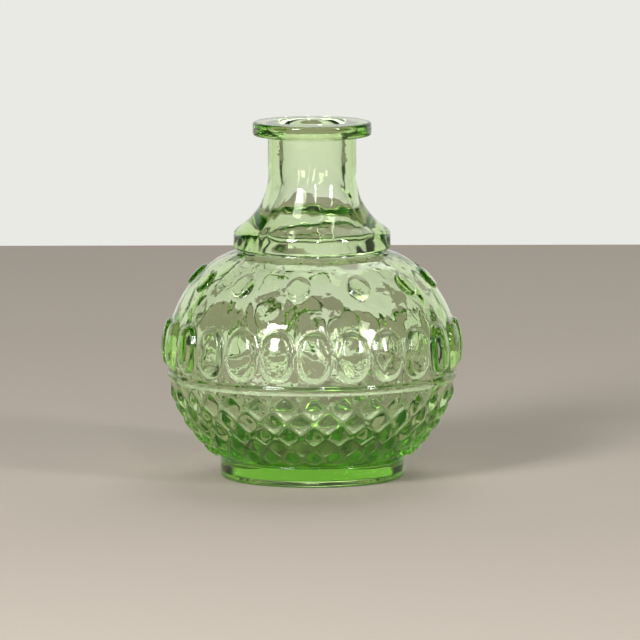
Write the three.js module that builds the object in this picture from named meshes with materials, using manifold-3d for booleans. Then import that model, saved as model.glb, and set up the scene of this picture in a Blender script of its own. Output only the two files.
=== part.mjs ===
// A moulded glass bud vase: one thick-walled piece of glass, made in a patterned mould.
// From the table up it has a solid foot, a round body, a collar, a flared neck and a flat lip.
// The body carries five rows of lozenges, a bead, a row of tall ovals and a row of small ovals.
// Millimetres, +Z up, origin at the centre of the foot's resting plane.

import * as THREE from "three";
import { mergeVertices } from "three/addons/utils/BufferGeometryUtils.js";
import Module from "manifold-3d";

// ---- Driving dimensions ----

const overallHeight = 108;

const footRadius = 27.8;
const footHeight = 6;
const footBottomEdge = 1.3;
const restingBandWidth = 2.9;
const baseRecessDepth = 1.5;

const bodyRadius = 44;
const widestShare = 0.527; // of the body's height, from the foot to the widest circle
const bodyStepAtFoot = 0.5;

const collarRadius = 23.8;
const collarHeight = 7.4;
const collarTopEdge = 1.6;
const collarTopDrop = 2.4; // how far down the side the rounding of the top edge reaches
const collarBottomEdge = 0.6;
const shoulderLedge = 1.4; // how far the body's top stands out past the collar

const neckRadius = 13.4;
const neckHeight = 27.8;
const flareHeight = 16;

const lipRadius = 18;
const lipHeight = 4.2;
const lipEdge = 0.9;

const boreRadius = 9;
const mouthEdge = 2.8;
const bodyWall = 3.8;
const floorThickness = 8.5;
const floorSquareness = 2.4; // superellipse exponent of the hollow below the widest circle
const throatStart = 55; // degrees up the shoulder where the hollow leaves the body's wall
const throatRise = 19; // from the collar's top to the bottom of the straight bore
const throatEaseBelow = 6; // how long the throat keeps the shoulder's direction
const throatEaseAbove = 7; // how long it keeps the bore's direction

const diamondCount = 30;
const diamondRows = 5;
const diamondRelief = 0.9;
const beadWidth = 2.4;
const beadRelief = 0.5;
const ovalCount = 24;
const ovalWidth = 10.2;
const ovalLength = 15.4;
const ovalRelief = 1.75;
const ovalSquareness = 2.4;
const smallOvalCount = 12;
const smallOvalWidth = 7.2;
const smallOvalLength = 8.8;
const smallOvalRelief = 0.9;

// Bands of the body's outline from the foot to the collar, with the bead and the two rows of
// ovals between them. They keep these proportions to each other and together take up what the
// bead and the ovals leave, so that the rows stay in order on a longer or shorter outline.
const lozengeBand = 29.3;
const bandAboveBead = 1.3;
const shoulderBand = 10;
const bandUnderCollar = 7.9;

// ---- Mesh fineness ----

const patternColumns = 120; // 4 for each lozenge and 5 for each oval
const plainColumns = 48;
const cavityColumns = 36;
const outlineSteps = 200;
const overrun = 1; // how far one solid runs into or past another that it is joined to or cut from

// ---- Heights that follow ----

const lipUnderside = overallHeight - lipHeight;
const collarTop = lipUnderside - neckHeight;
const collarUnderside = collarTop - collarHeight;
const bodyHeight = collarUnderside - footHeight;
const widestHeight = footHeight + widestShare * bodyHeight;

const bodyRadiusAtFoot = footRadius - bodyStepAtFoot;
const angleAtFoot = -Math.acos(bodyRadiusAtFoot / bodyRadius);
const angleAtCollar = Math.acos((collarRadius + shoulderLedge) / bodyRadius);
const lowerSemiAxis = (widestHeight - footHeight) / -Math.sin(angleAtFoot);
const upperSemiAxis = (collarUnderside - widestHeight) / Math.sin(angleAtCollar);

// ---- The body's outline: two half ellipses that share the widest circle ----

function outlinePoint(angle) {
  const semiAxis = angle < 0 ? lowerSemiAxis : upperSemiAxis;
  const outward = new THREE.Vector2(semiAxis * Math.cos(angle), bodyRadius * Math.sin(angle));
  return {
    radius: bodyRadius * Math.cos(angle),
    height: widestHeight + semiAxis * Math.sin(angle),
    normal: outward.normalize(),
  };
}

// The outline measured along its length, so that pattern rows can be placed in millimetres.
function measureOutline() {
  const stations = [{ length: 0, angle: angleAtFoot }];
  let last = outlinePoint(angleAtFoot);
  for (let step = 1; step <= outlineSteps; step++) {
    const angle = THREE.MathUtils.lerp(angleAtFoot, angleAtCollar, step / outlineSteps);
    const here = outlinePoint(angle);
    const stride = Math.hypot(here.radius - last.radius, here.height - last.height);
    stations.push({ length: stations.at(-1).length + stride, angle });
    last = here;
  }
  return stations;
}

const stations = measureOutline();
const outlineLength = stations.at(-1).length;

function outlineAt(length) {
  const after = Math.max(1, stations.findIndex((station) => station.length >= length));
  const [a, b] = [stations[after - 1], stations[after]];
  const share = (length - a.length) / (b.length - a.length);
  return outlinePoint(THREE.MathUtils.lerp(a.angle, b.angle, share));
}

// ---- Relief: how far the pattern stands out of the plain body ----

const bandsTogether = lozengeBand + bandAboveBead + shoulderBand + bandUnderCollar;
const lengthLeft = outlineLength - beadWidth - ovalLength - smallOvalLength;
const stretch = lengthLeft / bandsTogether;

const diamondHalfPitch = (stretch * lozengeBand) / (diamondRows + 1);
const beadPlace = stretch * lozengeBand + beadWidth / 2;
const ovalPlace = beadPlace + (beadWidth + ovalLength) / 2 + stretch * bandAboveBead;
const smallOvalPlace = outlineLength - stretch * bandUnderCollar - smallOvalLength / 2;

// The angle from the nearest of a ring of evenly spaced pieces, one of them at firstAngle.
function angleFromNearest(angle, count, firstAngle) {
  const pitch = (2 * Math.PI) / count;
  return (angle - firstAngle) - pitch * Math.round((angle - firstAngle) / pitch);
}

function dome(across, along, squareness) {
  const inside = 1 - Math.abs(across) ** squareness - Math.abs(along) ** squareness;
  return Math.sqrt(Math.max(0, inside));
}

function ovalReliefAt(place, angle) {
  const turn = angleFromNearest(angle, ovalCount, 0);
  const across = (turn * outlineAt(ovalPlace).radius) / (ovalWidth / 2);
  const along = (place - ovalPlace) / (ovalLength / 2);
  return ovalRelief * dome(across, along, ovalSquareness);
}

// The small ovals stand above every second gap between the tall ones.
function smallOvalReliefAt(place, angle) {
  const turn = angleFromNearest(angle, smallOvalCount, -Math.PI / ovalCount);
  const across = (turn * outlineAt(smallOvalPlace).radius) / (smallOvalWidth / 2);
  const along = (place - smallOvalPlace) / (smallOvalLength / 2);
  return smallOvalRelief * dome(across, along, 2);
}

function beadReliefAt(place) {
  return beadRelief * dome((place - beadPlace) / (beadWidth / 2), 0, 2);
}

// Each row of lozenges is turned half a pitch from the row below.
function diamondReliefAt(place, angle) {
  let highest = 0;
  for (let row = 1; row <= diamondRows; row++) {
    const stagger = ((diamondRows - row) % 2) * (Math.PI / diamondCount);
    const turn = angleFromNearest(angle, diamondCount, stagger);
    const across = Math.abs(turn) / (Math.PI / diamondCount);
    const along = Math.abs(place - row * diamondHalfPitch) / diamondHalfPitch;
    const inside = Math.max(0, 1 - (across + along) ** 2);
    highest = Math.max(highest, diamondRelief * inside);
  }
  return highest;
}

function reliefAt(place, angle) {
  return Math.max(
    beadReliefAt(place),
    diamondReliefAt(place, angle),
    ovalReliefAt(place, angle),
    smallOvalReliefAt(place, angle),
  );
}

// Rows of the patterned mesh. A row's turn puts its columns on the middles of that band's pieces.
function patternRows() {
  const rows = [];
  const halfColumn = Math.PI / patternColumns;
  for (let half = 0; half < 2 * diamondRows + 2; half++) {
    rows.push({ place: (half * diamondHalfPitch) / 2, turn: 0 });
  }
  for (const side of [-1, 0, 1]) {
    rows.push({ place: beadPlace + (side * beadWidth) / 2, turn: 0 });
  }
  for (const share of [-1, -0.8, 0, 0.8, 1]) {
    rows.push({ place: ovalPlace + (share * ovalLength) / 2, turn: halfColumn });
  }
  const plainStart = ovalPlace + ovalLength / 2;
  const plainEnd = smallOvalPlace - smallOvalLength / 2;
  rows.push({ place: (plainStart + plainEnd) / 2, turn: halfColumn });
  for (const share of [-1, -0.6, 0, 0.6, 1]) {
    rows.push({ place: smallOvalPlace + (share * smallOvalLength) / 2, turn: halfColumn });
  }
  rows.push({ place: outlineLength, turn: halfColumn });
  return rows;
}

// ---- Outlines of the plain solids, as radius and height ----

// A quarter of an ellipse between two points, leaving the first one along the axis named.
function roundedCorner(from, to, leaves, steps) {
  const points = [];
  for (let step = 0; step <= steps; step++) {
    const quarter = ((Math.PI / 2) * step) / steps;
    const [slow, fast] = [1 - Math.cos(quarter), Math.sin(quarter)];
    const [shareX, shareY] = leaves === "sideways" ? [fast, slow] : [slow, fast];
    points.push(
      new THREE.Vector2(
        THREE.MathUtils.lerp(from.x, to.x, shareX),
        THREE.MathUtils.lerp(from.y, to.y, shareY),
      ),
    );
  }
  return points;
}

const at = (radius, height) => new THREE.Vector2(radius, height);

function footOutline() {
  const restingOuter = footRadius - footBottomEdge;
  const restingInner = restingOuter - restingBandWidth;
  return [
    at(0, baseRecessDepth),
    at(restingInner - baseRecessDepth, baseRecessDepth),
    at(restingInner, 0),
    ...roundedCorner(at(restingOuter, 0), at(footRadius, footBottomEdge), "sideways", 3),
    at(footRadius, footHeight),
    at(0, footHeight),
  ];
}

// The flare is an arc that leaves the neck straight down and reaches the collar's top edge.
function flareOutline(steps) {
  const spread = collarRadius - collarTopEdge - neckRadius;
  const arcRadius = (spread ** 2 + flareHeight ** 2) / (2 * spread);
  const points = [];
  for (let step = 0; step <= steps; step++) {
    const below = flareHeight * (1 - step / steps);
    const out = arcRadius - Math.sqrt(arcRadius ** 2 - below ** 2);
    points.push(at(neckRadius + out, collarTop + flareHeight - below));
  }
  return points;
}

function neckOutline() {
  const collarEdgeInner = collarRadius - collarTopEdge;
  const collarEdgeHeight = collarTop - collarTopDrop;
  return [
    at(0, collarUnderside - overrun),
    at(collarRadius - collarBottomEdge, collarUnderside - overrun),
    at(collarRadius - collarBottomEdge, collarUnderside),
    at(collarRadius, collarUnderside + collarBottomEdge),
    ...roundedCorner(at(collarRadius, collarEdgeHeight), at(collarEdgeInner, collarTop), "up", 3),
    ...flareOutline(5).slice(1),
    at(neckRadius, lipUnderside),
    at(lipRadius - lipEdge, lipUnderside),
    at(lipRadius, lipUnderside + lipEdge),
    ...roundedCorner(
      at(lipRadius, overallHeight - lipEdge),
      at(lipRadius - lipEdge, overallHeight),
      "up",
      2,
    ),
    at(0, overallHeight),
  ];
}

// The hollow follows the body's wall, then closes in a smooth curve to the straight bore.
function cavityOutline() {
  const radius = bodyRadius - bodyWall;
  const lowerDepth = widestHeight - floorThickness;
  const upperRise = upperSemiAxis - bodyWall;
  const lowerSteps = 8;
  const upperSteps = 4;
  const points = [at(0, floorThickness)];
  for (let step = 1; step < lowerSteps; step++) {
    const angle = ((Math.PI / 2) * step) / lowerSteps;
    const power = 2 / floorSquareness;
    points.push(
      at(radius * Math.sin(angle) ** power, widestHeight - lowerDepth * Math.cos(angle) ** power),
    );
  }
  const angleAtShoulder = THREE.MathUtils.degToRad(throatStart);
  for (let step = 0; step <= upperSteps; step++) {
    const angle = (angleAtShoulder * step) / upperSteps;
    points.push(at(radius * Math.cos(angle), widestHeight + upperRise * Math.sin(angle)));
  }
  const shoulder = points.at(-1);
  const inwards = at(-radius * Math.sin(angleAtShoulder), upperRise * Math.cos(angleAtShoulder));
  const boreBottom = at(boreRadius, collarTop + throatRise);
  const throat = new THREE.CubicBezierCurve(
    shoulder,
    shoulder.clone().addScaledVector(inwards.normalize(), throatEaseBelow),
    at(boreRadius, boreBottom.y - throatEaseAbove),
    boreBottom,
  );
  const mouthBottom = at(boreRadius, overallHeight - mouthEdge);
  const mouthTop = at(boreRadius + mouthEdge, overallHeight);
  return [
    ...points,
    ...throat.getPoints(6).slice(1),
    ...roundedCorner(mouthBottom, mouthTop, "up", 3),
    at(boreRadius + mouthEdge, overallHeight + overrun),
    at(0, overallHeight + overrun),
  ];
}

// ---- Solids ----

const wasm = await Module();
wasm.setup();

// A closed three.js geometry as a solid that can be joined and cut.
function solidOf(geometry) {
  const bare = geometry.clone();
  bare.deleteAttribute("normal");
  bare.deleteAttribute("uv");
  const merged = mergeVertices(bare, 1e-3);
  return new wasm.Manifold(
    new wasm.Mesh({
      numProp: 3,
      vertProperties: merged.getAttribute("position").array,
      triVerts: new Uint32Array(merged.index.array),
    }),
  );
}

function geometryOf(solid) {
  const mesh = solid.getMesh();
  const positions = new Float32Array(mesh.numVert * 3);
  for (let vertex = 0; vertex < mesh.numVert; vertex++) {
    const start = vertex * mesh.numProp;
    positions.set(mesh.vertProperties.subarray(start, start + 3), vertex * 3);
  }
  const geometry = new THREE.BufferGeometry();
  geometry.setAttribute("position", new THREE.BufferAttribute(positions, 3));
  geometry.setIndex(new THREE.BufferAttribute(mesh.triVerts, 1));
  geometry.computeVertexNormals();
  return geometry;
}

const turnedSolid = (outline, columns) => solidOf(new THREE.LatheGeometry(outline, columns));

// The body is turned like the rest, and then each point moves out along the wall's normal by
// the relief there. Each cell is folded along its more level diagonal, so that edges run true.
function patternedBody() {
  const rows = patternRows();
  const topHeight = outlineAt(outlineLength).height;
  const topRadius = collarRadius - collarBottomEdge - overrun; // hidden inside the collar
  const outline = [
    at(0, footHeight - overrun),
    at(bodyRadiusAtFoot, footHeight - overrun),
    ...rows.map(({ place }) => at(outlineAt(place).radius, outlineAt(place).height)),
    at(topRadius, topHeight),
    at(topRadius, topHeight + overrun),
    at(0, topHeight + overrun),
  ];
  const geometry = new THREE.LatheGeometry(outline, patternColumns);
  const position = geometry.getAttribute("position");
  const firstRow = 2;
  const relief = new Float32Array(position.count);
  for (let column = 0; column <= patternColumns; column++) {
    rows.forEach(({ place, turn }, row) => {
      const angle = (2 * Math.PI * column) / patternColumns + turn;
      const wall = outlineAt(place);
      const vertex = column * outline.length + firstRow + row;
      relief[vertex] = reliefAt(place, angle);
      const radius = wall.radius + wall.normal.x * relief[vertex];
      const height = wall.height + wall.normal.y * relief[vertex];
      position.setXYZ(vertex, radius * Math.sin(angle), height, radius * Math.cos(angle));
    });
  }
  const faces = [];
  for (let column = 0; column < patternColumns; column++) {
    for (let row = 0; row < outline.length - 1; row++) {
      const a = column * outline.length + row;
      const [b, c, d] = [a + outline.length, a + outline.length + 1, a + 1];
      const foldAcross = Math.abs(relief[b] - relief[d]);
      const foldAlong = Math.abs(relief[a] - relief[c]);
      faces.push(...(foldAlong < foldAcross ? [a, b, c, a, c, d] : [a, b, d, c, d, b]));
    }
  }
  geometry.setIndex(faces);
  return solidOf(geometry);
}

function glassGeometry() {
  const foot = turnedSolid(footOutline(), plainColumns);
  const neck = turnedSolid(neckOutline(), plainColumns);
  const cavity = turnedSolid(cavityOutline(), cavityColumns);
  return geometryOf(patternedBody().add(foot).add(neck).subtract(cavity));
}

// ---- Material and the exported part ----

const pressedGlass = new THREE.MeshStandardMaterial({
  color: 0xa9cf8e,
  roughness: 0.05,
  metalness: 0,
  transparent: true,
  opacity: 0.5,
});

const glassVessel = new THREE.Mesh(glassGeometry(), pressedGlass);
glassVessel.name = "glass_vessel";
glassVessel.rotation.x = Math.PI / 2; // turned about +Y, stood up along +Z

const budVase = new THREE.Group();
budVase.name = "glass_bud_vase";
budVase.add(glassVessel);

export default budVase;
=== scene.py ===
# Moulded green glass bud vase, in metres, standing on the centre of its foot with +Z up.
# Sizes in the dictionaries are millimetres and are turned to metres when a mesh is finished.

import math
from bisect import bisect_left

import bmesh
import bpy
from mathutils import Matrix, Vector, noise
from mathutils.geometry import interpolate_bezier


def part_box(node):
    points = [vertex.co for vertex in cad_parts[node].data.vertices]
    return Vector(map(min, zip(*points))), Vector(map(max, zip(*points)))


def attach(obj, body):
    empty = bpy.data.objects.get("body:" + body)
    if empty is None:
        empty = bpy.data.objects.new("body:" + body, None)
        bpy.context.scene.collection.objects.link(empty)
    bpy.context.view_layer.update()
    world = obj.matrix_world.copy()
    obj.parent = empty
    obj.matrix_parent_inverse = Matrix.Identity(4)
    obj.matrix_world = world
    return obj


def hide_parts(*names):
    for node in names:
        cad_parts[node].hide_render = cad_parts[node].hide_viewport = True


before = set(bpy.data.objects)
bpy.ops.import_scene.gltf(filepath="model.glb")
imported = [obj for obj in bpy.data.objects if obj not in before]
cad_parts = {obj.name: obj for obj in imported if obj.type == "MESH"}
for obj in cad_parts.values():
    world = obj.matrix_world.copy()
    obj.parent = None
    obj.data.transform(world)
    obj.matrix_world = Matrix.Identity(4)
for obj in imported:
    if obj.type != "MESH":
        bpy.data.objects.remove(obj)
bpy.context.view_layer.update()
print("frame loaded")

millimetre = 0.001
cubicCentimetresPerCubicMetre = 1e6
lowestCorner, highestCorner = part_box("glass_vessel")
vaseHeight = (highestCorner[2] - lowestCorner[2]) / millimetre


# Body outline: two half ellipses that meet at the widest circle

vase = {
    "footRadius": 27.8,
    "footHeight": 6.0,
    "recessDepth": 1.5,
    "restingRingInner": 23.6,
    "bodyRadius": 44.0,
    "bodyRadiusAtFoot": 27.3,
    "bodyRadiusAtCollar": 25.2,
    "widestShare": 0.527,  # of the way up the body
    "collarRadius": 23.8,
    "collarHeight": 7.4,
    "collarTopEdge": 1.6,
    "neckRadius": 13.4,
    "neckHeight": 27.8,
    "flareHeight": 16.0,
    "lipRadius": 18.0,
    "lipHeight": 4.2,
    "boreRadius": 9.0,
    "mouthEdge": 2.8,
    "bodyWall": 3.8,
    "floorThickness": 8.5,
    "floorSquareness": 2.4,
    "throatStart": 55.0,  # degrees up the shoulder
    "throatRise": 19.0,
    "throatEaseBelow": 6.0,
    "throatEaseAbove": 7.0,
}

lipUnderside = vaseHeight - vase["lipHeight"]
collarTop = lipUnderside - vase["neckHeight"]
collarUnderside = collarTop - vase["collarHeight"]
widestHeight = vase["footHeight"] + vase["widestShare"] * (collarUnderside - vase["footHeight"])
angleAtFoot = -math.acos(vase["bodyRadiusAtFoot"] / vase["bodyRadius"])
angleAtCollar = math.acos(vase["bodyRadiusAtCollar"] / vase["bodyRadius"])
lowerSemiAxis = (widestHeight - vase["footHeight"]) / -math.sin(angleAtFoot)
upperSemiAxis = (collarUnderside - widestHeight) / math.sin(angleAtCollar)


def outlinePoint(angle):
    semiAxis = lowerSemiAxis if angle < 0 else upperSemiAxis
    radius = vase["bodyRadius"]
    point = Vector((radius * math.cos(angle), widestHeight + semiAxis * math.sin(angle)))
    normal = Vector((semiAxis * math.cos(angle), radius * math.sin(angle)))
    return point, normal.normalized()


def measureOutline(steps=400):
    lengths, angles = [0.0], [angleAtFoot]
    last = outlinePoint(angleAtFoot)[0]
    for step in range(1, steps + 1):
        angle = angleAtFoot + (angleAtCollar - angleAtFoot) * step / steps
        here = outlinePoint(angle)[0]
        lengths.append(lengths[-1] + (here - last).length)
        angles.append(angle)
        last = here
    return lengths, angles


outlineLengths, outlineAngles = measureOutline()


# Point and normal of the plain body at a place measured along the outline from the foot
def outlineAt(place):
    after = bisect_left(outlineLengths, place, 1, len(outlineLengths) - 1)
    lastLength, nextLength = outlineLengths[after - 1], outlineLengths[after]
    lastAngle, nextAngle = outlineAngles[after - 1], outlineAngles[after]
    share = (place - lastLength) / (nextLength - lastLength)
    return outlinePoint(lastAngle + share * (nextAngle - lastAngle))


# Relief: how far the pattern stands out of the plain body

relief = {
    "lozengeCount": 30,
    "lozengeRows": 5,
    "lozengeHeight": 1.25,
    "lozengeEdge": 0.74,  # share of its cell that a lozenge fills, the rest is flat channel
    "lozengeFullness": 2.0,  # 2 is a round pillow, more is flatter on top with steeper sides
    "lozengeRounding": 1.3,  # 1 is a sharp-cornered lozenge
    "lozengeBand": 29.3,
    "lozengeFadeStart": 2.2,  # the plain ring above the foot cuts the lowest row
    "lozengeFadeEnd": 3.4,
    "beadWidth": 2.4,
    "beadHeight": 0.6,
    "ovalCount": 24,
    "ovalGap": 1.3,
    "ovalWidth": 10.2,
    "ovalLength": 15.4,
    "ovalRim": 1.1,
    "ovalDome": 0.65,
    "ovalFlank": 1.1,
    "ovalSquareness": 2.5,
    "smallOvalCount": 12,
    "smallOvalWidth": 7.2,
    "smallOvalLength": 8.8,
    "smallOvalRim": 0.8,
    "smallOvalDome": 0.45,
    "smallOvalFlank": 0.7,
    "shoulderBand": 10.0,
}

# The patterned stretch of the outline, between the foot's edge and the collar's
bandStart = 0.7
bandEnd = 70.0

beadPlace = relief["lozengeBand"] + relief["beadWidth"] / 2
ovalPlace = beadPlace + (relief["beadWidth"] + relief["ovalLength"]) / 2 + relief["ovalGap"]
ovalLengths = relief["ovalLength"] + relief["smallOvalLength"]
smallOvalPlace = ovalPlace + ovalLengths / 2 + relief["shoulderBand"]
lozengePitch = relief["lozengeBand"] / (relief["lozengeRows"] + 1)
ovalCircle, ovalHeight = outlineAt(ovalPlace)[0]
smallOvalCircle = outlineAt(smallOvalPlace)[0].x


def smoothStep(value):
    value = min(1.0, max(0.0, value))
    return value * value * (3 - 2 * value)


def fromNearest(angle, count, firstAngle=0.0):
    pitch = 2 * math.pi / count
    return (angle - firstAngle) - pitch * round((angle - firstAngle) / pitch)


# A raised piece has a steep flank all round and a gentle dome on top of it
def raisedPiece(across, along, squareness, halfSize, rim, dome, flank):
    reach = (abs(across) ** squareness + abs(along) ** squareness) ** (1 / squareness)
    if reach >= 1:
        return 0.0
    return rim * smoothStep((1 - reach) * halfSize / flank) + dome * (1 - reach * reach)


def ovalRelief(place, angle):
    across = fromNearest(angle, relief["ovalCount"]) * ovalCircle / (relief["ovalWidth"] / 2)
    along = (place - ovalPlace) / (relief["ovalLength"] / 2)
    return raisedPiece(
        across, along, relief["ovalSquareness"], relief["ovalWidth"] / 2,
        relief["ovalRim"], relief["ovalDome"], relief["ovalFlank"],
    )


def smallOvalRelief(place, angle):
    turn = fromNearest(angle, relief["smallOvalCount"], -math.pi / relief["ovalCount"])
    across = turn * smallOvalCircle / (relief["smallOvalWidth"] / 2)
    along = (place - smallOvalPlace) / (relief["smallOvalLength"] / 2)
    return raisedPiece(
        across, along, 2, relief["smallOvalWidth"] / 2,
        relief["smallOvalRim"], relief["smallOvalDome"], relief["smallOvalFlank"],
    )


def lozengeRelief(place, angle):
    halfPitch = math.pi / relief["lozengeCount"]
    rounding = relief["lozengeRounding"]
    highest = 0.0
    for row in range(1, relief["lozengeRows"] + 1):
        along = abs(place - row * lozengePitch) / lozengePitch
        if along >= 1:
            continue
        stagger = halfPitch * ((relief["lozengeRows"] - row) % 2)
        across = abs(fromNearest(angle, relief["lozengeCount"], stagger)) / halfPitch
        reach = (across ** rounding + along ** rounding) ** (1 / rounding)
        fullness = max(0.0, 1 - (reach / relief["lozengeEdge"]) ** relief["lozengeFullness"])
        highest = max(highest, relief["lozengeHeight"] * fullness)
    fadeLength = relief["lozengeFadeEnd"] - relief["lozengeFadeStart"]
    return highest * smoothStep((place - relief["lozengeFadeStart"]) / fadeLength)


def beadRelief(place):
    across = (place - beadPlace) / (relief["beadWidth"] / 2)
    return relief["beadHeight"] * math.sqrt(max(0.0, 1 - across * across))


def reliefAt(place, angle):
    if place < relief["lozengeBand"]:
        return lozengeRelief(place, angle)
    if place < beadPlace + relief["beadWidth"] / 2:
        return beadRelief(place)
    if place < ovalPlace + relief["ovalLength"] / 2:
        return ovalRelief(place, angle)
    return smallOvalRelief(place, angle)


# Outlines of the plain parts

corner = {
    "stepAngle": 18.0,  # degrees of a rounded corner to each step
    "hold": 0.25,  # a point this far before and after the rounding keeps the flats flat
}


# Each corner is radius, height and how round it is
def roundedOutline(corners):
    outline = [Vector(corners[0][:2])]
    for before, here, after in zip(corners, corners[1:], corners[2:]):
        point = Vector(here[:2])
        if here[2] == 0:
            outline.append(point)
            continue
        back = (Vector(before[:2]) - point).normalized()
        ahead = (Vector(after[:2]) - point).normalized()
        half = back.angle(ahead) / 2
        reach = here[2] / math.tan(half)
        centre = point + (back + ahead).normalized() * here[2] / math.sin(half)
        turn = math.pi - 2 * half
        if back.x * ahead.y - back.y * ahead.x > 0:
            turn = -turn
        steps = max(2, round(math.degrees(abs(turn)) / corner["stepAngle"]))
        spoke = point + back * reach - centre
        outline.append(point + back * (reach + corner["hold"]))
        for step in range(steps + 1):
            outline.append(centre + Matrix.Rotation(turn * step / steps, 2) @ spoke)
        outline.append(point + ahead * (reach + corner["hold"]))
    outline.append(Vector(corners[-1][:2]))
    return outline


footShape = {
    "recessFlat": 0.5,  # share of the recess that is a flat disc
    "recessRounding": 1.0,
    "ringRounding": 0.6,
    "heelRounding": 1.2,
    "lean": 0.1,  # in at the bottom and out at the top, so that the foot leaves the mould
    "topDrop": 0.1,
    "topRounding": 0.35,
    "ledge": 0.75,  # in from the side to the sharp corner under the body
    "ledgeRise": 0.05,
    "ledgeRounding": 0.15,
    "seam": 0.35,  # how far below the pattern the foot's outline ends
}


def footOutline():
    foot, inner = vase["footRadius"], vase["restingRingInner"]
    recess, top = vase["recessDepth"], vase["footHeight"]
    end = outlineAt(bandStart - footShape["seam"])[0]
    return roundedOutline([
        (0, recess, 0),
        (inner * footShape["recessFlat"], recess, 0),
        (inner - recess, recess, footShape["recessRounding"]),
        (inner, 0, footShape["ringRounding"]),
        (foot - footShape["lean"], 0, footShape["heelRounding"]),
        (foot + footShape["lean"], top - footShape["topDrop"], footShape["topRounding"]),
        (foot - footShape["ledge"], top + footShape["ledgeRise"], footShape["ledgeRounding"]),
        (end.x, end.y, 0),
    ])


def flareOutline(steps=18):
    spread = vase["collarRadius"] - vase["collarTopEdge"] - vase["neckRadius"]
    arcRadius = (spread ** 2 + vase["flareHeight"] ** 2) / (2 * spread)
    outline = []
    for step in range(steps + 1):
        below = vase["flareHeight"] * (1 - step / steps)
        out = arcRadius - math.sqrt(arcRadius ** 2 - below ** 2)
        outline.append(Vector((vase["neckRadius"] + out, collarTop + vase["flareHeight"] - below)))
    return outline


collarShape = {
    "seam": 0.45,  # how far above the pattern the collar's outline starts
    "shoulderOut": 2.7,
    "shoulderDrop": 1.15,
    "shoulderRounding": 2.4,
    "grooveDepth": 0.8,  # the groove between the shoulder and the collar
    "grooveBottom": 0.05,
    "grooveBottomRounding": 0.9,
    "grooveTop": 0.75,
    "grooveTopRounding": 0.2,
    "sideBottom": 1.35,
    "sideBottomRounding": 0.5,
    "sideTopRounding": 2.4,
}


def collarOutline():
    start = outlineAt(bandEnd + collarShape["seam"])[0]
    flare = flareOutline()
    collar = vase["collarRadius"]
    groove = collar - collarShape["grooveDepth"]
    grooveBottom = collarUnderside + collarShape["grooveBottom"]
    slope = (flare[1] - flare[0]).normalized()
    edgeHeight = flare[0].y - (collar - flare[0].x) * slope.y / -slope.x
    corners = [
        (start.x, start.y, 0),
        (
            collar + collarShape["shoulderOut"],
            collarUnderside - collarShape["shoulderDrop"],
            collarShape["shoulderRounding"],
        ),
        (groove, grooveBottom, collarShape["grooveBottomRounding"]),
        (groove, collarUnderside + collarShape["grooveTop"], collarShape["grooveTopRounding"]),
        (collar, collarUnderside + collarShape["sideBottom"], collarShape["sideBottomRounding"]),
        (collar, edgeHeight, collarShape["sideTopRounding"]),
        (flare[0].x, flare[0].y, 0),
    ]
    return roundedOutline(corners) + flare[1:]


lipShape = {
    "edge": 0.9,
    "undersideRounding": 0.7,
    "neckSeam": 2,  # how far above the flare the straight neck starts
    "boreSeam": 1.5,  # how far above the throat the bore's outline ends
}


def lipOutline():
    lip, neck, bore = vase["lipRadius"], vase["neckRadius"], vase["boreRadius"]
    return roundedOutline([
        (neck, collarTop + vase["flareHeight"] + lipShape["neckSeam"], 0),
        (neck, lipUnderside, lipShape["undersideRounding"]),
        (lip, lipUnderside, lipShape["edge"]),
        (lip, vaseHeight, lipShape["edge"]),
        (bore, vaseHeight, vase["mouthEdge"]),
        (bore, collarTop + vase["throatRise"] + lipShape["boreSeam"], 0),
    ])


def hollowOutline(throatSteps=26, shoulderSteps=18, floorSteps=30):
    radius = vase["bodyRadius"] - vase["bodyWall"]
    rise = upperSemiAxis - vase["bodyWall"]
    depth = widestHeight - vase["floorThickness"]
    startAngle = math.radians(vase["throatStart"])
    shoulder = Vector((radius * math.cos(startAngle), widestHeight + rise * math.sin(startAngle)))
    inwards = Vector((-radius * math.sin(startAngle), rise * math.cos(startAngle))).normalized()
    boreBottom = Vector((vase["boreRadius"], collarTop + vase["throatRise"]))
    outline = interpolate_bezier(
        boreBottom.to_3d(),
        (boreBottom - Vector((0, vase["throatEaseAbove"]))).to_3d(),
        (shoulder + inwards * vase["throatEaseBelow"]).to_3d(),
        shoulder.to_3d(),
        throatSteps,
    )
    outline = [point.to_2d() for point in outline]
    for step in range(1, shoulderSteps + 1):
        angle = startAngle * (1 - step / shoulderSteps)
        outline.append(Vector((radius * math.cos(angle), widestHeight + rise * math.sin(angle))))
    power = 2 / vase["floorSquareness"]
    for step in range(1, floorSteps + 1):
        angle = math.pi / 2 * (1 + step / floorSteps)
        across, down = math.sin(angle) ** power, abs(math.cos(angle)) ** power
        floorRadius = radius * across if step < floorSteps else 0
        outline.append(Vector((floorRadius, widestHeight - depth * down)))
    return outline


# The glass

glass = {
    "patternColumns": 480,  # 16 to a lozenge, 20 to a tall oval, 40 to a small one
    "plainColumns": 144,
    "hollowColumns": 192,
    "waveHeight": 0.8,  # of the uneven inner wall
    "waveLength": 12.0,
    "waveLowest": 12.0,  # the waves fade out near the floor and in the straight bore
    "waveHighest": 95.0,
    "waveFade": 8.0,
    "waveSeed": 7.0,
    "waveOctaves": [(1, 1), (2.1, 0.5), (4.3, 0.25)],  # how much finer, and how strong
    "waveCentre": 1,  # inside this radius the floor stays plain
    "followDepth": 0.35,  # how far the inner wall swells out behind each tall oval
    "followWidth": 0.8,  # more is narrower, and 1 ends at the oval's edge
    "seamReach": 0.02,  # how level a ring is, to be found as one seam
    "weldReach": 0.001,
}

# How tall the faces are along the outline, in each stretch from the foot up
faceHeight = {
    "footRing": 0.75,
    "lozenges": 0.46,
    "bead": 0.27,
    "belowOvals": 0.45,
    "ovals": 0.44,
    "betweenOvals": 1.2,
    "shoulder": 1.0,
}


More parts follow.
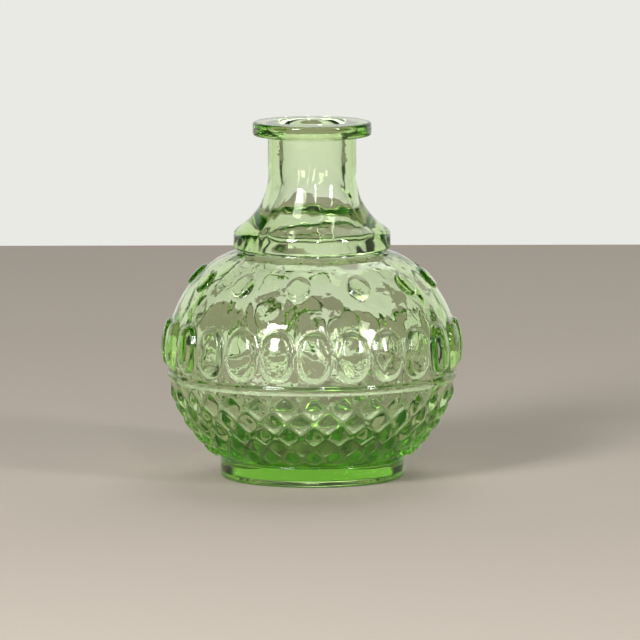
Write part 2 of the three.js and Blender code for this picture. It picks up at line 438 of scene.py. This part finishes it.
def patternPlaces():
    bead, lozengeTop = relief["beadWidth"] / 2, relief["lozengeBand"]
    ovalHalf, smallHalf = relief["ovalLength"] / 2, relief["smallOvalLength"] / 2
    stretches = [
        (bandStart, relief["lozengeFadeStart"], "footRing"),
        (relief["lozengeFadeStart"], lozengeTop, "lozenges"),
        (lozengeTop, beadPlace + bead, "bead"),
        (beadPlace + bead, ovalPlace - ovalHalf, "belowOvals"),
        (ovalPlace - ovalHalf, ovalPlace + ovalHalf, "ovals"),
        (ovalPlace + ovalHalf, smallOvalPlace - smallHalf, "betweenOvals"),
        (smallOvalPlace - smallHalf, smallOvalPlace + smallHalf, "ovals"),
        (smallOvalPlace + smallHalf, bandEnd, "shoulder"),
    ]
    places = [bandStart]
    for start, end, stretch in stretches:
        steps = max(1, round((end - start) / faceHeight[stretch]))
        places += [start + (end - start) * step / steps for step in range(1, steps + 1)]
    return places


# Spins an outline of radius and height round the axis, starting from the front
def spinOutline(mesh, outline, columns):
    verts = [mesh.verts.new((0, -point.x, point.y)) for point in outline]
    edges = [mesh.edges.new(pair) for pair in zip(verts, verts[1:])]
    bmesh.ops.spin(
        mesh, geom=verts + edges, cent=(0, 0, 0), axis=(0, 0, 1),
        angle=2 * math.pi, steps=columns, use_merge=True, use_duplicate=False,
    )


def angleOf(point):
    return math.atan2(point.x, -point.y)


def raisePattern(mesh, places):
    heights = {round(outlineAt(place)[0].y, 3): place for place in places}
    for vert in mesh.verts:
        place = heights[round(vert.co.z, 3)]
        point, normal = outlineAt(place)
        angle = angleOf(vert.co)
        raised = point + normal * reliefAt(place, angle)
        vert.co = Vector((raised.x * math.sin(angle), -raised.x * math.cos(angle), raised.y))


# The glass sank a little into the mould's ovals, so the inner wall swells softly behind them
def swellBehindOvals(point):
    across = fromNearest(angleOf(point), relief["ovalCount"]) * ovalCircle / relief["ovalWidth"]
    along = (point.z - ovalHeight) / relief["ovalLength"]
    reach = math.hypot(across, along) * 2 * glass["followWidth"]
    return glass["followDepth"] * smoothStep(1 - reach)


def waveInnerWall(mesh):
    for vert in mesh.verts:
        radius = vert.co.xy.length
        if radius < glass["waveCentre"]:
            continue
        up = smoothStep((vert.co.z - glass["waveLowest"]) / glass["waveFade"])
        down = smoothStep((glass["waveHighest"] - vert.co.z) / glass["waveFade"])
        spot = vert.co / glass["waveLength"] + Vector((glass["waveSeed"], 0, 0))
        wave = sum(share * noise.noise(spot * finer) for finer, share in glass["waveOctaves"])
        outwards = glass["waveHeight"] * wave * up * down + swellBehindOvals(vert.co)
        vert.co.xy *= 1 + outwards / radius


# Edges of the open end that lies nearest to a height
def openRing(mesh, nearHeight):
    rim = [edge for edge in mesh.edges if edge.is_boundary]
    ends = {edge: abs(edge.verts[0].co.z - nearHeight) for edge in rim}
    nearest = min(ends.values())
    return [edge for edge in rim if ends[edge] < nearest + glass["seamReach"]]


def joinInto(target, source):
    scratch = bpy.data.meshes.new("scratch")
    source.to_mesh(scratch)
    source.free()
    target.from_mesh(scratch)
    bpy.data.meshes.remove(scratch)


def makeVase():
    places = patternPlaces()
    body = bmesh.new()
    spinOutline(body, [outlineAt(place)[0] for place in places], glass["patternColumns"])
    raisePattern(body, places)
    foot = bmesh.new()
    spinOutline(foot, footOutline(), glass["plainColumns"])
    top = bmesh.new()
    spinOutline(top, collarOutline() + lipOutline(), glass["plainColumns"])
    hollow = bmesh.new()
    spinOutline(hollow, hollowOutline(), glass["hollowColumns"])
    waveInnerWall(hollow)
    print("outlines spun")

    whole = bmesh.new()
    for part in (body, foot, top, hollow):
        joinInto(whole, part)
    seams = [
        (footOutline()[-1].y, outlineAt(bandStart)[0].y),
        (outlineAt(bandEnd)[0].y, collarOutline()[0].y),
        (lipOutline()[-1].y, hollowOutline()[0].y),
    ]
    for lower, upper in seams:
        bmesh.ops.bridge_loops(whole, edges=openRing(whole, lower) + openRing(whole, upper))
    bmesh.ops.remove_doubles(whole, verts=whole.verts, dist=glass["weldReach"])
    bmesh.ops.recalc_face_normals(whole, faces=whole.faces)
    for face in whole.faces:
        face.smooth = True
    openEdges = [edge for edge in whole.edges if not edge.is_manifold]
    bmesh.ops.scale(whole, vec=(millimetre,) * 3, verts=whole.verts)
    triangles = sum(len(face.verts) - 2 for face in whole.faces)
    volume = whole.calc_volume(signed=True) * cubicCentimetresPerCubicMetre
    print(f"vase mesh: {triangles} triangles, {len(openEdges)} open edges, {volume:.1f} cm3")
    mesh = bpy.data.meshes.new("moulded_vase")
    whole.to_mesh(mesh)
    whole.free()
    piece = bpy.data.objects.new("moulded_vase", mesh)
    bpy.context.scene.collection.objects.link(piece)
    return piece


# Materials


# An sRGB hex colour as linear red, green, blue and alpha
def linearColour(hexColour):
    channels = [int(hexColour[i : i + 2], 16) / 255 for i in (1, 3, 5)]
    return [c / 12.92 if c <= 0.04045 else ((c + 0.055) / 1.055) ** 2.4 for c in channels] + [1.0]


def addNode(tree, kind, settings=None, links=None):
    node = tree.nodes.new(kind)
    for name, value in (settings or {}).items():
        if isinstance(name, int) or name in node.inputs:
            node.inputs[name].default_value = value
        else:
            setattr(node, name, value)
    for name, source in (links or {}).items():
        tree.links.new(source, node.inputs[name])
    return node


def newMaterial(name):
    material = bpy.data.materials.new(name)
    material.use_nodes = True
    material.node_tree.nodes.clear()
    return material, material.node_tree


sodaLime = {
    "tint": "#cdec8c",
    "tintStrength": 84.0,  # per metre of glass: pale in a wall, deep green through the foot
    "ior": 1.52,
    "roughness": 0.0,
    "chillPitch": 6.0,  # millimetres between the faint ripples a cold mould leaves
    "chillDepth": 0.12,
    "chillDetail": 3.0,
    "chillGrain": 0.45,
}


# Soda-lime glass pressed in an iron mould: clear, sharp highlights, with a faintly rippled skin
def mouldedSodaLimeGlass():
    material, tree = newMaterial("moulded_soda_lime_glass")
    place = addNode(tree, "ShaderNodeTexCoord")
    ripple = addNode(
        tree, "ShaderNodeTexNoise",
        {
            "Scale": 1 / (sodaLime["chillPitch"] * millimetre),
            "Detail": sodaLime["chillDetail"],
            "Roughness": sodaLime["chillGrain"],
        },
        {"Vector": place.outputs["Object"]},
    )
    skin = addNode(
        tree, "ShaderNodeBump",
        {"Strength": 1.0, "Distance": sodaLime["chillDepth"] * millimetre},
        {"Height": ripple.outputs["Fac"]},
    )
    surface = addNode(
        tree, "ShaderNodeBsdfPrincipled",
        {
            "Base Color": (1, 1, 1, 1),
            "Roughness": sodaLime["roughness"],
            "IOR": sodaLime["ior"],
            "Transmission Weight": 1.0,
        },
        {"Normal": skin.outputs["Normal"]},
    )
    tint = addNode(
        tree, "ShaderNodeVolumeAbsorption",
        {"Color": linearColour(sodaLime["tint"]), "Density": sodaLime["tintStrength"]},
    )
    addNode(
        tree, "ShaderNodeOutputMaterial", None,
        {"Surface": surface.outputs["BSDF"], "Volume": tint.outputs["Volume"]},
    )
    return material


floorPaint = {"colour": "#b9afa3", "roughness": 0.9, "shine": 0.2}


# Matt warm grey paint: a quiet floor that shows through the glass without a highlight of its own
def mattFloorPaint():
    material, tree = newMaterial("floor_paint")
    surface = addNode(
        tree, "ShaderNodeBsdfPrincipled",
        {
            "Base Color": linearColour(floorPaint["colour"]),
            "Roughness": floorPaint["roughness"],
            "Specular IOR Level": floorPaint["shine"],
        },
    )
    addNode(tree, "ShaderNodeOutputMaterial", None, {"Surface": surface.outputs["BSDF"]})
    return material


# Studio: pale floor, bright panels far off with dark between them, and four soft lights

studio = {
    "floorFront": 3.0,
    "floorBack": 0.62,
    "halfWidth": 2.5,
    "floorDrop": 0.0001,  # keeps the floor's face off the resting ring
    "panelColour": "#eaeae5",
    "shadeColour": "#262b2a",  # between and above the panels, so that steep glass edges draw dark
}

# Way out to a panel's middle, degrees from there where it starts and ends to fade, and brightness
panels = [
    {"way": (0, 1, 0), "inner": 46, "outer": 56, "share": 1.0},  # behind
    {"way": (0, -1, 0), "inner": 40, "outer": 56, "share": 0.4},  # in front
    {"way": (-1, 0, 0), "inner": 8, "outer": 16, "share": 0.45},  # left
    {"way": (1, 0, 0), "inner": 8, "outer": 16, "share": 0.45},  # right
]

# Turned from the front towards +X and raised, in degrees, then width, height, distance and watts
windows = [
    {
        "name": "window_left", "turn": -33, "raise": 27,
        "size": (0.34, 0.55), "away": 1.3, "watts": 15,
    },
    {
        "name": "window_right", "turn": 49, "raise": 20,
        "size": (0.16, 0.45), "away": 1.3, "watts": 7,
    },
    {
        "name": "window_middle", "turn": 8, "raise": 24,
        "size": (0.07, 0.8), "away": 1.3, "watts": 3.0,
    },
    {
        "name": "overhead", "turn": 165, "raise": 58,
        "size": (1.0, 1.0), "away": 1.5, "watts": 6.5,
    },
]


def makeFloor():
    side, front, back = studio["halfWidth"], -studio["floorFront"], studio["floorBack"]
    low = -studio["floorDrop"]
    mesh = bmesh.new()
    corners = [(-side, front, low), (side, front, low), (side, back, low), (-side, back, low)]
    bmesh.ops.contextual_create(mesh, geom=[mesh.verts.new(corner) for corner in corners])
    data = bpy.data.meshes.new("floor")
    mesh.to_mesh(data)
    mesh.free()
    data.materials.append(mattFloorPaint())
    sheet = bpy.data.objects.new("floor", data)
    bpy.context.scene.collection.objects.link(sheet)


# A wide bright panel behind, a dimmer one in front and narrow ones left and right
def makeSky():
    world = bpy.data.worlds.new("panels")
    world.use_nodes = True
    tree = world.node_tree
    tree.nodes.clear()
    ways = addNode(tree, "ShaderNodeTexCoord").outputs["Generated"]
    total = None
    for panel in panels:
        facing = addNode(
            tree, "ShaderNodeVectorMath", {"operation": "DOT_PRODUCT", 1: panel["way"]}, {0: ways},
        )
        share = addNode(
            tree, "ShaderNodeMapRange",
            {
                "interpolation_type": "SMOOTHSTEP",
                "From Min": math.cos(math.radians(panel["outer"])),
                "From Max": math.cos(math.radians(panel["inner"])),
                "To Max": panel["share"],
            },
            {"Value": facing.outputs["Value"]},
        ).outputs["Result"]
        if total is None:
            total = share
            continue
        total = addNode(
            tree, "ShaderNodeMath", {"operation": "MAXIMUM"}, {0: total, 1: share},
        ).outputs["Value"]
    colour = addNode(
        tree, "ShaderNodeMix",
        {
            "data_type": "RGBA",
            6: linearColour(studio["shadeColour"]),
            7: linearColour(studio["panelColour"]),
        },
        {0: total},
    )
    sky = addNode(tree, "ShaderNodeBackground", None, {"Color": colour.outputs[2]})
    addNode(tree, "ShaderNodeOutputWorld", None, {"Surface": sky.outputs["Background"]})
    bpy.context.scene.world = world


def aimAt(item, place, target):
    item.location = place
    item.rotation_euler = (Vector(target) - Vector(place)).to_track_quat("-Z", "Y").to_euler()


def directionOf(turn, lift):
    turn, lift = math.radians(turn), math.radians(lift)
    level = math.cos(lift)
    return Vector((math.sin(turn) * level, -math.cos(turn) * level, math.sin(lift)))


def addAreaLight(name, place, target, size, watts):
    data = bpy.data.lights.new(name, "AREA")
    data.shape = "RECTANGLE"
    data.size, data.size_y = size
    data.energy = watts
    lamp = bpy.data.objects.new(name, data)
    aimAt(lamp, place, target)
    bpy.context.scene.collection.objects.link(lamp)


def makeLights():
    middle = (0, 0, vaseHeight / 2 * millimetre)
    for window in windows:
        place = directionOf(window["turn"], window["raise"]) * window["away"]
        addAreaLight(window["name"], place, middle, window["size"], window["watts"])


view = {
    "raise": 7.0,
    "turn": -1.0,
    "away": 2.5,
    "spread": 0.194,  # width of the view at the vase
    "centreHeight": 0.0475,
    "sideways": 0.0024,
    "sensor": 36.0,
    "farthest": 20,
}


def makeCamera():
    data = bpy.data.cameras.new("camera")
    data.sensor_width = view["sensor"]
    data.lens = view["sensor"] * view["away"] / view["spread"]
    data.clip_end = view["farthest"]
    camera = bpy.data.objects.new("camera", data)
    outwards = directionOf(view["turn"], view["raise"])
    target = Vector((view["sideways"], 0, view["centreHeight"]))
    aimAt(camera, target + outwards * view["away"], target)
    bpy.context.scene.collection.objects.link(camera)
    bpy.context.scene.camera = camera


makeCamera()
makeFloor()
makeSky()
makeLights()
print("studio ready")

vasePiece = makeVase()
vasePiece.data.materials.append(mouldedSodaLimeGlass())
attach(vasePiece, "root")
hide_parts("glass_vessel")
print("vase ready")

scene = bpy.context.scene
scene.view_settings.view_transform = "Standard"
# Light crosses many glass surfaces before it comes out again
scene.cycles.max_bounces = 32
scene.cycles.transmission_bounces = 32
scene.cycles.glossy_bounces = 12
